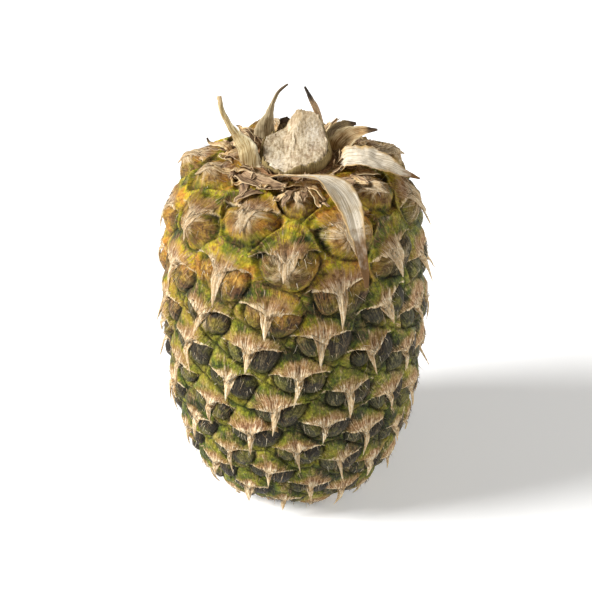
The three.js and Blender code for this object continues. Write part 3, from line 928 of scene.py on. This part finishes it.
# Paths and widths in millimetres from root to tip. sides says which way a leaf's width runs, and
# the looks name a row of LEAF_LOOKS.
LEAVES = {
    "leaf_left_curled": dict(
        path=[(-20.2, -3.2, 168.2), (-21, -2.6, 172.4), (-24, 0.4, 176.6), (-27.4, 2.8, 181),
              (-30.7, 6, 186.8), (-31.9, 8, 193)],
        widths=[15, 10.5, 5.4, 3, 2.4, 2], sides=[(0.68, -0.73, 0), (0.8, -0.5, 0.1), (0.95, -0.2, 0.2)],
        cup=0.28, look="green", fray=0.5),
    "leaf_back_left": dict(
        path=[(-12.9, 18, 168.4), (-12, 18.2, 174), (-10.6, 18.8, 179), (-9, 19.6, 184.4),
              (-6.6, 20.8, 188.6), (-2.8, 22, 191.6)],
        widths=[12, 7.8, 3.8, 1.8, 1.4, 0.8], sides=[(0.88, 0.47, 0), (0.9, 0.3, -0.2), (0.8, 0.1, -0.5)],
        cup=0.25, look="tan", fray=0.15),
    "leaf_back_dark": dict(
        path=[(-3.4, 18.6, 168.2), (-3.6, 19.6, 172.5), (-4.6, 20.6, 176)],
        widths=[9, 7.5, 3], sides=[(1, 0.1, 0), (1, 0.1, 0)], cup=0.1, look="dark", fray=0.4),
    "leaf_back_spike": dict(
        path=[(13, 12.4, 168), (12.2, 13, 175), (10.4, 13.4, 182), (7.2, 13.4, 188.6), (4.4, 13, 194.9)],
        widths=[7.5, 5, 3.4, 2, 0.8], sides=[(-0.75, 0.66, 0), (0.5, 0.6, 0.2), (0.9, -0.1, 0.4)],
        cup=0.3, look="rusty", fray=0.1),
    "leaf_right_back": dict(
        path=[(18.2, 5.4, 168.6), (22.4, 9.6, 172), (28.5, 12.6, 173.4), (36, 14, 173.5)],
        widths=[12, 10, 5.5, 1], sides=[(-0.5, 0.7, 0.2), (-0.4, 0.8, 0.3), (-0.2, 0.9, 0.3)],
        cup=0.2, look="ochre", fray=0.3),
    "leaf_right_back_dark": dict(
        path=[(15.8, 15.2, 168.6), (18.6, 18.6, 171), (22.6, 21.4, 171.8), (27, 23.6, 171.4)],
        widths=[6, 6, 4.5, 1.2], sides=[(-0.5, 0.5, 0.4), (-0.3, 0.6, 0.6)], cup=0.15, look="dark", fray=0.9),
    "leaf_right_front": dict(
        path=[(18.8, -5.2, 169.2), (24, -6.8, 171.8), (32, -7.6, 171.4), (40.3, -8.2, 168.2),
              (46.8, -8.4, 164.8), (53.5, -8.4, 162.2)],
        widths=[11, 14, 15, 11, 5, 0.8], sides=[(-0.1, 0.95, 0.1), (0.1, 1, 0.15), (0.2, 1, 0.2)],
        cup=0.12, look="pale", fray=0.1),
    "leaf_front_drooping": dict(
        path=[(-12.4, -16.8, 169.6), (-4, -21.6, 171.4), (5, -25, 173), (13, -28.4, 173.4),
              (19, -34, 171.2), (22.8, -41, 167), (25.2, -48, 161.2), (27.4, -53.6, 153),
              (29, -56.6, 145), (29.6, -57.8, 139.5)],
        widths=[3, 5, 8, 13, 14, 11, 7.5, 5, 3.6, 1.6],
        sides=[(0.2, 0.8, -0.55), (0.5, 0.7, -0.3), (0.9, 0.4, 0.1), (0.95, 0.3, 0.1)],
        cup=0.1, look="pale", fray=0.35),
    "leaf_left_short": dict(
        path=[(-27, 6.6, 169), (-31.7, 8.4, 169.8), (-36, 10, 169.4), (-38, 11, 171)],
        widths=[5, 4.4, 2.8, 1], sides=[(0.3, 0.95, 0), (0.4, 0.9, 0.1)], cup=0.15, look="ochre", fray=0.2),
    "collar_flap": dict(
        path=[(-24, -12.6, 168.4), (-19.4, -19.4, 168.6), (-12, -24, 168.4), (-3.6, -26.6, 168.6)],
        widths=[5, 8, 8, 3], sides=[(0.75, 0.65, 0.1), (0.2, 1, 0.1)], cup=0.2, look="withered", fray=0.8),
}

# Dark fibre, middle fibre, light fibre, stain, margin, tip, and how far from the root the tip's
# colour starts.
LEAF_LOOKS = {
    "pale": ("#a8967c", "#d6c8ae", "#f2e8d6", "#b89e72", "#c8a464", "#7c5a34", 0.7),
    "tan": ("#6c5c42", "#a2906e", "#c8b894", "#6e5636", "#bcaa88", "#6a5844", 0.7),
    "green": ("#6a5630", "#a08450", "#cbbd94", "#735228", "#f0e4c4", "#ccb088", 0.86),
    "ochre": ("#8a6238", "#c09a66", "#e6cc9e", "#966430", "#ecdab0", "#4a3824", 0.75),
    "rusty": ("#6e4c34", "#a98460", "#d0b48c", "#8e4e30", "#bfa680", "#403830", 0.66),
    "dark": ("#3c2e1c", "#66543a", "#8e7a54", "#4a3a24", "#9a8660", "#4a3826", 0.7),
    "withered": ("#3c2c1c", "#80644a", "#b89a76", "#66503a", "#dcc29a", "#c4a47c", 0.9),
}


def leaf_material(look):
    """Dry leaf: fibres from root to tip, stains, specks, yellowed margins and a darker tip."""
    dark, middle, light, stain, margin, tip, tip_start = LEAF_LOOKS[look]
    p = Paint("leaf_" + look)
    along, across, seed, edge = p.layers("along across seed edge")
    place = p.coordinates()
    length = p.times(along, 3.0)
    fibre = p.noise(p.vector(p.times(across, 1.5), length, seed), 1.0, 3, 0.7)
    thread = p.noise(p.vector(p.times(across, 4.0), length, seed), 1.0, 2)
    patch = p.noise(place, 130, 3)
    speck = p.noise(place, 800, 2)
    lines = p.blend(fibre, thread, 0.4)
    colour = p.ramp(lines, {0.36: dark, 0.46: middle, 0.56: light, 0.68: middle})
    colour = p.mix(p.range(patch, 0.52, 0.7, 0, 0.55), colour, stain)
    colour = p.mix(p.range(p.plus(edge, p.swing(patch)), 0.72, 1.0, 0, 0.8), colour, margin)
    worn = p.plus(along, p.swing(patch, 0.5))
    colour = p.mix(p.range(worn, tip_start, tip_start + 0.16), colour, tip)
    colour = p.mix(p.range(speck, 0.66, 0.74, 0, 0.6), colour, "#4a3420")
    colour = p.mix(0.35, colour, p.ramp(thread, {0.35: "#303030", 0.65: "#d0d0d0"}), "SOFT_LIGHT")
    return p.finish(colour, 0.72, [(lines, 0.35), (speck, 0.1), (patch, 0.3)], 0.3)


def make_leaf(name, seed, path, widths, sides, cup, look, fray):
    """A dry leaf along its path: cupped across, rippled, with a ragged margin and a frayed tip."""
    share = np.linspace(0, 1, LEAF_ROWS)
    middle = spline(path, LEAF_ROWS)[0]
    middle[:, 2] -= ROOT_SINK * smooth(-share, -0.12, 0)
    width = np.interp(share, np.linspace(0, 1, len(widths)), widths)[:, None]
    side = np.stack([np.interp(share, np.linspace(0, 1, len(sides)), axis) for axis in zip(*sides)], -1)
    tangent = unit(np.gradient(middle, axis=0))
    side = unit(side - tangent * np.sum(side * tangent, axis=1, keepdims=True))
    face = np.cross(tangent, side)

    v = np.linspace(-1, 1, LEAF_COLUMNS)
    share = share[:, None]
    walk = share * LEAF_WALK
    margin = places(walk, np.sign(v) * 30, seed * 57.0)
    frayed = fray * 0.5 * noise(margin, 1.2, 72, 2) * smooth(walk, 70, LEAF_WALK)
    reach = v * width / 2 * (1 + 0.13 * noise(margin, 3.5, 71, 2) + frayed)
    blade = places(walk * 0.4, reach * 1.2, seed * 31.0)
    ripple = 0.05 * width * noise(blade, 3.2, 73, 2) + 0.35 * noise(blade, 6, 74) * smooth(walk, 0, 40)
    grain = 0.09 * noise(places(walk * 0.15, reach * 2.4, 0), 1.0, 75 + seed)
    rise = ripple + grain + cup * width * (v**2 - 0.4)
    place = middle[:, None] + side[:, None] * reach[..., None] + face[:, None] * rise[..., None]
    thickness = LEAF_EDGE + LEAF_MIDRIB * (1 - v**2) * (1 - 0.5 * share)
    sheets = Sheets()
    sheets.add(place, thickness, along=share, across=reach, seed=seed * 3.7, edge=np.abs(v))
    return sheets.piece(name + "_blade", LEAF_MATERIALS[look], LEAF_SLOTS.get(look, "dry_leaf"), (name,))


# ---- Scraps of leaf bases ----
FOOT_SCRAPS = 64
COLLAR_SCRAPS = 34
SCRAP_ROWS, SCRAP_COLUMNS = 9, 7
SCRAP_SHARE = np.linspace(0, 1, SCRAP_ROWS)[:, None]
FOOT_SCRAP_THICKNESS, COLLAR_SCRAP_THICKNESS = 0.3, 0.25


def scrap_strip(walk, width, seed):
    """A scrap's places from side to side, narrowing to a torn end, how far they curl, and layers."""
    v = np.linspace(-1, 1, SCRAP_COLUMNS)
    seat = places(walk, v * 2, seed * 9.0)
    taper = 1 - SCRAP_SHARE**1.3 * rng.uniform(0.6, 1)
    reach = v * width / 2 * taper + 0.9 * noise(seat, 1.4, 81)
    curl = 0.6 * noise(seat, 2.5, 82) + 0.1 * width * v**2 * SCRAP_SHARE
    return reach, curl, {"along": SCRAP_SHARE * 0.8, "across": reach, "seed": seed * 1.3, "edge": np.abs(v)}


def make_foot_scraps(material):
    """Torn remains of leaf bases, leaning outwards all round the stump's foot."""
    sheets = Sheets()
    middle = np.array([STUMP_X, STUMP_Y, HEIGHT - 0.6])
    for i in range(FOOT_SCRAPS):
        heading = TURN * (i + rng.uniform(-0.4, 0.4)) / FOOT_SCRAPS
        radius, length, width = rng.uniform(16.2, 20.5), rng.uniform(2, 5.5), rng.uniform(2, 5)
        lean, twist = rng.uniform(0.3, 1.5), rng.normal(0, 0.4)
        out = np.array([math.sin(heading), -math.cos(heading), 0])
        side = np.array([math.cos(heading), math.sin(heading), twist])
        rise = math.cos(lean) * np.array([0, 0, 1]) + math.sin(lean) * out
        walk = SCRAP_SHARE * length
        reach, curl, layers = scrap_strip(walk, width, i)
        place = out * radius + middle + walk[..., None] * rise
        place = place + reach[..., None] * side + curl[..., None] * np.cross(rise, side)
        sheets.add(place, FOOT_SCRAP_THICKNESS, **layers)
    return sheets.piece("stalk_foot_scraps", material, "dark_leaf")


def make_collar_scraps(name, material, slot):
    """Papery remains of the topmost bracts, lying outwards over the fruit's shoulder."""
    sheets = Sheets()
    for i in range(COLLAR_SCRAPS):
        heading = TURN * (i + rng.uniform(-0.5, 0.5)) / COLLAR_SCRAPS
        start, length, width = rng.uniform(-1, 9), rng.uniform(5, 12), rng.uniform(3, 7.5)
        walk = SCRAP_SHARE * length
        reach, curl, layers = scrap_strip(walk, width, i)
        along = OUTLINE_LENGTH - start - walk + 0 * reach
        turned = heading + (reach + walk * rng.normal(0, 0.4)) / radius_at(along)
        rise = 2.0 * SCRAP_SHARE**0.5 + rng.uniform(0, 1.6) * SCRAP_SHARE**2
        lift = relief_at(turned, along) - 0.5 + rise + curl
        sheets.add(on_fruit(turned, along, lift), COLLAR_SCRAP_THICKNESS, **layers)
    return sheets.piece(name, material, slot)


# ---- Camera, light and floor ----
CAMERA_ELEVATION = math.radians(35.4)
CAMERA_DISTANCE = 732.8
CAMERA_TURNS_ABOUT = Vector((0, 0, 83.35))
CAMERA_LOOKS_AT = Vector((0.7, 0, 95.7))
CAMERA_LENS = 97.3

# Lights, sky and floor, in metres. Each light has a name, a kind, a place, a power and a size.
LIGHTS = (
    ("key", "SUN", (-1.7, -0.28, 1.2), 5.6, {"angle": math.radians(22)}),
    ("rim", "AREA", (1.5, 0.0, 0.7), 11, {"shape": "DISK", "size": 0.8}),
)
LIGHTS_LOOK_AT = Vector((0, 0, 0.09))
SKY_COLOUR, SKY_STRENGTH = (1, 0.95, 0.85, 1), 0.16
FLOOR_HALF = 6  # half the floor's side
FLOOR_GLOW = 0.25


def aim(thing, target):
    thing.rotation_euler = (target - thing.location).to_track_quat("-Z", "Y").to_euler()


def make_camera():
    """The photograph's view. The camera stands back along a line that rises from the fruit's middle."""
    data = bpy.data.cameras.new("camera")
    data.lens = CAMERA_LENS
    data.sensor_width = 36
    camera = add_object("camera", data)
    back = Vector((0, -math.cos(CAMERA_ELEVATION), math.sin(CAMERA_ELEVATION)))
    camera.location = (CAMERA_TURNS_ABOUT + back * CAMERA_DISTANCE) * MM
    aim(camera, CAMERA_LOOKS_AT * MM)
    bpy.context.scene.camera = camera


def make_light(name, kind, place, power, size):
    data = bpy.data.lights.new(name, kind)
    data.energy = power
    for key, value in size.items():
        setattr(data, key, value)
    light = add_object(name, data)
    light.location = place
    aim(light, LIGHTS_LOOK_AT)


def make_studio():
    """A plain pale floor, a warm sky and the lights."""
    p = Paint("floor")
    p.finish(linear("#f8f8f8"), 0.9, [], 0.1)
    p.shader.inputs["Emission Color"].default_value = (1, 1, 1, 1)
    p.shader.inputs["Emission Strength"].default_value = FLOOR_GLOW
    mesh = bpy.data.meshes.new("floor")
    corners = [(x * FLOOR_HALF, y * FLOOR_HALF, 0) for x, y in ((-1, -1), (1, -1), (1, 1), (-1, 1))]
    mesh.from_pydata(corners, [], [(0, 1, 2, 3)])
    mesh.materials.append(p.material)
    floor = add_object("floor", mesh)
    world = bpy.data.worlds.new("studio")
    world.use_nodes = True
    sky = world.node_tree.nodes["Background"].inputs
    sky["Color"].default_value = SKY_COLOUR
    sky["Strength"].default_value = SKY_STRENGTH
    bpy.context.scene.world = world
    for light in LIGHTS:
        make_light(*light)
    bpy.context.scene.view_settings.view_transform = "Standard"


make_camera()
make_studio()
RIND = rind_material()
make_skin(RIND)
make_bracts(RIND)
make_hairs(hair_material())
make_stump(stump_material())
LEAF_MATERIALS = {look: leaf_material(look) for look in LEAF_LOOKS}
make_foot_scraps(LEAF_MATERIALS["withered"])
make_collar_scraps("collar_scraps_pale", LEAF_MATERIALS["ochre"], "dry_leaf")
make_collar_scraps("collar_scraps_dark", LEAF_MATERIALS["withered"], "dark_leaf")
for number, (name, shape) in enumerate(LEAVES.items()):
    make_leaf(name, number, **shape)
